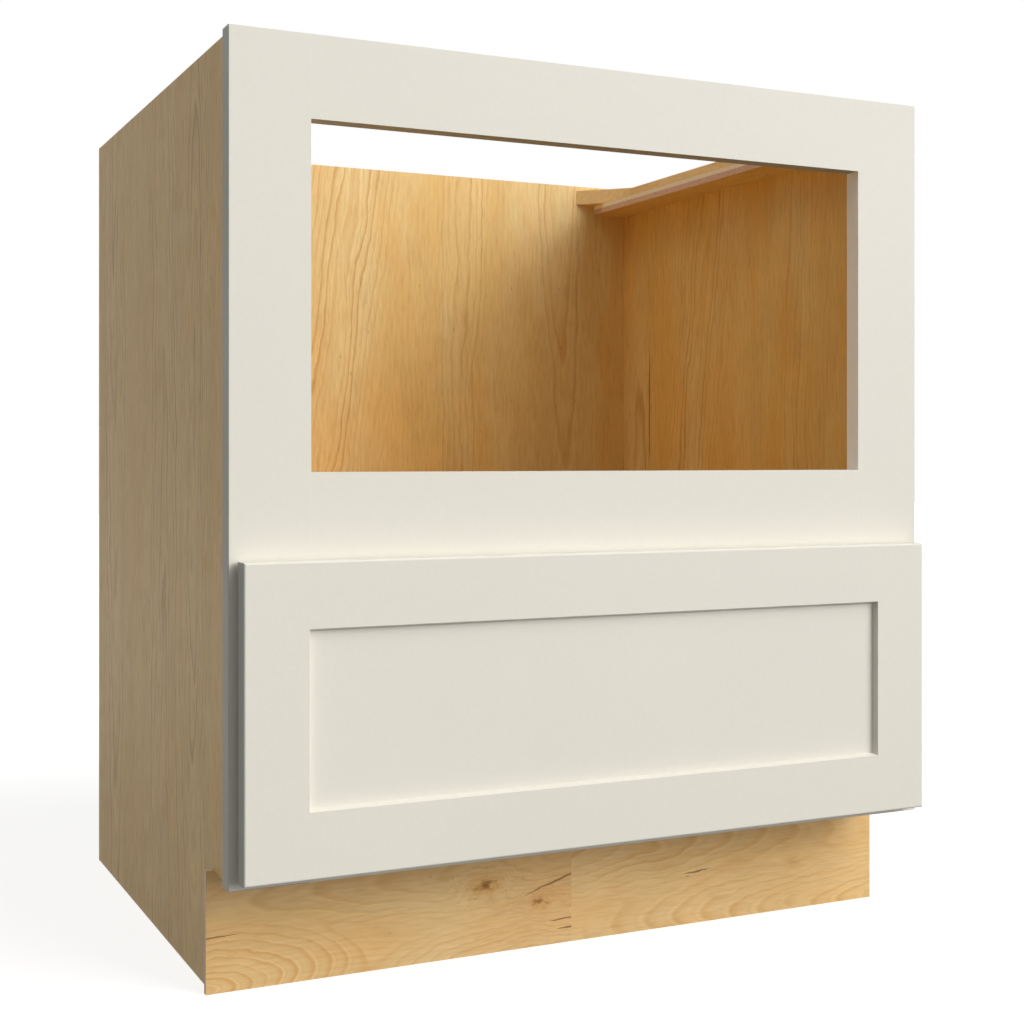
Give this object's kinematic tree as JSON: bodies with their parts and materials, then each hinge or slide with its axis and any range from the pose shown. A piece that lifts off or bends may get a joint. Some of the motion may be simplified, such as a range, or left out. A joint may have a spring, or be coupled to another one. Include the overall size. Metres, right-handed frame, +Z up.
{
  "type": "kitchen base cabinet",
  "caption": "Face-frame kitchen base cabinet with an open-topped bay for a built-in microwave oven over one recessed-panel drawer on undermount slides, and a set-back toe kick.",
  "frame": {"origin": "on the floor, under the middle of the whole object with the drawer closed", "axes": "+X to the right as seen from the front, +Y to the back (the wall side), +Z up"},
  "size_m": [0.762, 0.6314, 0.8763],
  "materials": {
    "cream_paint": "satin off-white paint over hardwood",
    "maple_side_veneer": "clear-coated maple veneer, vertical grain",
    "maple_plywood": "clear-coated maple plywood",
    "toe_maple": "unfinished maple, horizontal grain",
    "brace_maple": "planed maple",
    "drawer_box_maple": "clear-coated solid maple",
    "drawer_bottom_plywood": "clear-coated maple plywood",
    "zinc_steel": "zinc-plated rolled steel",
    "screw_steel": "yellow zinc-plated steel",
    "grey_plastic": "moulded grey plastic",
    "white_nylon": "natural nylon",
    "lever_plastic": "moulded orange plastic",
    "clear_rubber": "soft translucent rubber"
  },
  "bodies": {
    "cabinet": {"back_brace_left": "brace_maple", "back_brace_right": "brace_maple", "back_panel": "maple_plywood", "brace_ledger_left": "maple_plywood", "brace_ledger_right": "maple_plywood", "brace_screws": "screw_steel", "bracket_screws": "screw_steel", "floor_panel": "maple_plywood", "frame_bottom_rail": "cream_paint", "frame_left_stile": "cream_paint", "frame_middle_rail": "cream_paint", "frame_right_stile": "cream_paint", "frame_top_rail": "cream_paint", "front_brace_left": "brace_maple", "front_brace_right": "brace_maple", "left_side_panel": "maple_side_veneer", "microwave_shelf": "maple_plywood", "right_side_panel": "maple_side_veneer", "slide_bracket_left": "grey_plastic", "slide_bracket_right": "grey_plastic", "slide_rail_left": "zinc_steel", "slide_rail_right": "zinc_steel", "slide_screws": "screw_steel", "sub_toe_board": "maple_plywood", "toe_skin_left": "toe_maple", "toe_skin_right": "toe_maple"},
    "drawer": {"bumpers": "clear_rubber", "clip_screws": "screw_steel", "drawer_bottom_screws": "screw_steel", "drawer_box_back": "drawer_box_maple", "drawer_box_bottom": "drawer_bottom_plywood", "drawer_box_front": "drawer_box_maple", "drawer_box_left_side": "drawer_box_maple", "drawer_box_right_side": "drawer_box_maple", "drawer_front_bottom_rail": "cream_paint", "drawer_front_left_stile": "cream_paint", "drawer_front_panel": "cream_paint", "drawer_front_right_stile": "cream_paint", "drawer_front_screws": "screw_steel", "drawer_front_top_rail": "cream_paint", "front_clip_left": "grey_plastic", "front_clip_right": "grey_plastic", "slide_runner_left": "zinc_steel", "slide_runner_right": "zinc_steel"},
    "slide_middle_left": {"slide_glides_left": "white_nylon", "slide_middle_left": "zinc_steel"},
    "clip_lever_left": {"clip_lever_left": "lever_plastic"},
    "slide_middle_right": {"slide_glides_right": "white_nylon", "slide_middle_right": "zinc_steel"},
    "clip_lever_right": {"clip_lever_right": "lever_plastic"}
  },
  "joints": [
    {"name": "drawer_slide", "type": "slide", "parent": "cabinet", "child": "drawer", "axis": [0, -1, 0], "range_m": [0, 0.508]},
    {"name": "slide_middle_left_travel", "type": "slide", "parent": "cabinet", "child": "slide_middle_left", "axis": [0, -1, 0], "range_m": [0, 0.254]},
    {"name": "slide_middle_right_travel", "type": "slide", "parent": "cabinet", "child": "slide_middle_right", "axis": [0, -1, 0], "range_m": [0, 0.254]},
    {"name": "clip_lever_left_turn", "type": "hinge", "parent": "drawer", "child": "clip_lever_left", "pos_m": [-0.2339, -0.26077, 0.1678], "axis": [0, 0, 1], "range_deg": [-12, 12], "stiffness_Nm_per_rad": 0.02},
    {"name": "clip_lever_right_turn", "type": "hinge", "parent": "drawer", "child": "clip_lever_right", "pos_m": [0.2339, -0.26077, 0.1678], "axis": [0, 0, 1], "range_deg": [-12, 12], "stiffness_Nm_per_rad": 0.02}
  ],
  "couplings": [
    {"joint": "slide_middle_left_travel", "follows": "drawer_slide", "ratio": 0.5},
    {"joint": "slide_middle_right_travel", "follows": "drawer_slide", "ratio": 0.5}
  ]
}
